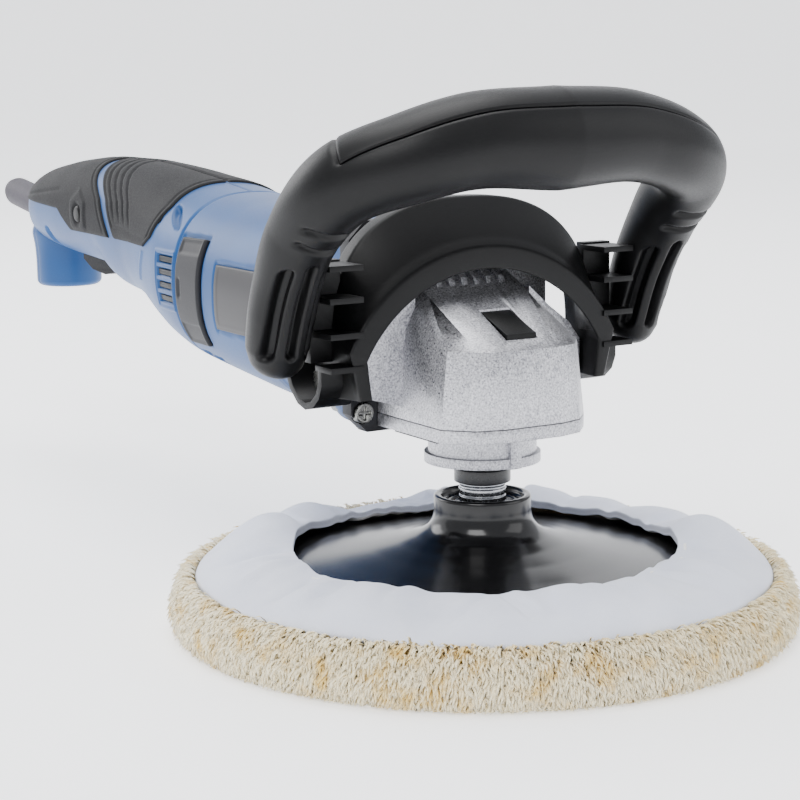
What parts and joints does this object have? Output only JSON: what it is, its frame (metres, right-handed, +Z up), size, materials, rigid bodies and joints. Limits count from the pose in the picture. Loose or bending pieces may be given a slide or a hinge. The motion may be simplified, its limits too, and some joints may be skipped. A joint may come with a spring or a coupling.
{
  "type": "rotary polisher",
  "caption": "Right-angle rotary polisher with a wool bonnet on a backing pad, a D-shaped bail handle over the gear head and a trigger handle with a foot at the tail.",
  "frame": {"origin": "centre of the flat working face of the wool bonnet, on the spindle axis", "axes": "+Z up along the spindle axis, away from the work; +Y from the spindle towards the tail of the rear handle; +X to the right when looking along +Y"},
  "size_m": [0.2026, 0.5219, 0.1736],
  "materials": {
    "wool": "deep twisted pile",
    "bonnet_cloth": "thin woven cloth, gathered",
    "foam": "open-cell foam",
    "gloss_black": "polished",
    "steel": "turned",
    "black": "satin, fine grain",
    "cast": "sand cast, sparkling grain",
    "dark_plate": "satin",
    "iron": "laminated",
    "copper": "lacquered",
    "blue": "satin moulded",
    "label": "printed foil, left blank",
    "brass": "satin",
    "carbon": "dull",
    "grip": "soft, matte",
    "lime": "smooth",
    "board": "lacquered",
    "boot": "soft"
  },
  "bodies": {
    "housing": {"spindle_bearing": "steel", "needle_bearing": "steel", "gearbox_cover": "cast", "cover_screw_1": "steel", "cover_screw_2": "steel", "cover_screw_3": "steel", "cover_screw_4": "steel", "gear_housing": "cast", "adapter_plate": "dark_plate", "plate_screw_1": "steel", "plate_screw_2": "steel", "plate_screw_3": "steel", "plate_screw_4": "steel", "motor_bearing_front": "steel", "motor_bearing_rear": "steel", "stator_core": "iron", "field_winding_upper": "copper", "field_winding_lower": "copper", "motor_housing": "blue", "label_plate_left": "label", "brush_cover_left": "dark_plate", "brush_holder_left": "brass", "carbon_brush_left": "carbon", "label_plate_right": "label", "brush_cover_right": "dark_plate", "brush_holder_right": "brass", "carbon_brush_right": "carbon", "trigger_pin": "steel", "speed_control": "board", "switch_body": "black", "control_board": "board", "handle_shell_left": "blue", "front_grip_left": "grip", "rear_grip_left": "grip", "handle_shell_right": "blue", "front_grip_right": "grip", "rear_grip_right": "grip", "cord_boot": "boot", "bail_cover": "black", "bail_frame": "black", "saddle": "black", "handle_bolt_left": "steel", "handle_bolt_right": "steel"},
    "spindle": {"bonnet_wool": "wool", "bonnet_hem": "bonnet_cloth", "foam_layer": "foam", "backing_pad": "gloss_black", "hub_insert": "steel", "ring_gear": "steel", "spindle": "steel", "spindle_sleeve": "black"},
    "armature": {"pinion": "steel", "armature_shaft": "steel", "armature_core": "iron", "commutator": "copper", "cooling_fan": "black"},
    "spindle_lock": {"spindle_lock_button": "black"},
    "trigger": {"switch_trigger": "grip"},
    "lock_on": {"lock_on_button": "black"},
    "speed_dial": {"speed_wheel": "lime"}
  },
  "joints": [
    {"name": "spindle_spin", "type": "hinge", "parent": "housing", "child": "spindle", "pos_m": [0, 0, 0.05], "axis": [0, 0, 1], "continuous": true},
    {"name": "armature_spin", "type": "hinge", "parent": "housing", "child": "armature", "pos_m": [0, 0.06, 0.095], "axis": [0, 1, 0], "continuous": true},
    {"name": "spindle_lock_press", "type": "slide", "parent": "housing", "child": "spindle_lock", "axis": [0, 0, -1], "range_m": [0, 0.0015], "stiffness_N_per_m": 800, "springref_m": -0.002},
    {"name": "trigger_squeeze", "type": "hinge", "parent": "housing", "child": "trigger", "pos_m": [0, 0.2725, 0.0985], "axis": [1, 0, 0], "range_deg": [0, 5.5], "stiffness_Nm_per_rad": 2, "springref_deg": -8.59},
    {"name": "lock_on_press", "type": "slide", "parent": "housing", "child": "lock_on", "axis": [1, 0, 0], "range_m": [0, 0.002], "stiffness_N_per_m": 600, "springref_m": -0.001},
    {"name": "speed_dial_turn", "type": "hinge", "parent": "housing", "child": "speed_dial", "pos_m": [0, 0.249, 0.0925], "axis": [1, 0, 0], "range_deg": [0, 270]}
  ],
  "couplings": [
    {"joint": "armature_spin", "follows": "spindle_spin", "ratio": 2.7273}
  ]
}
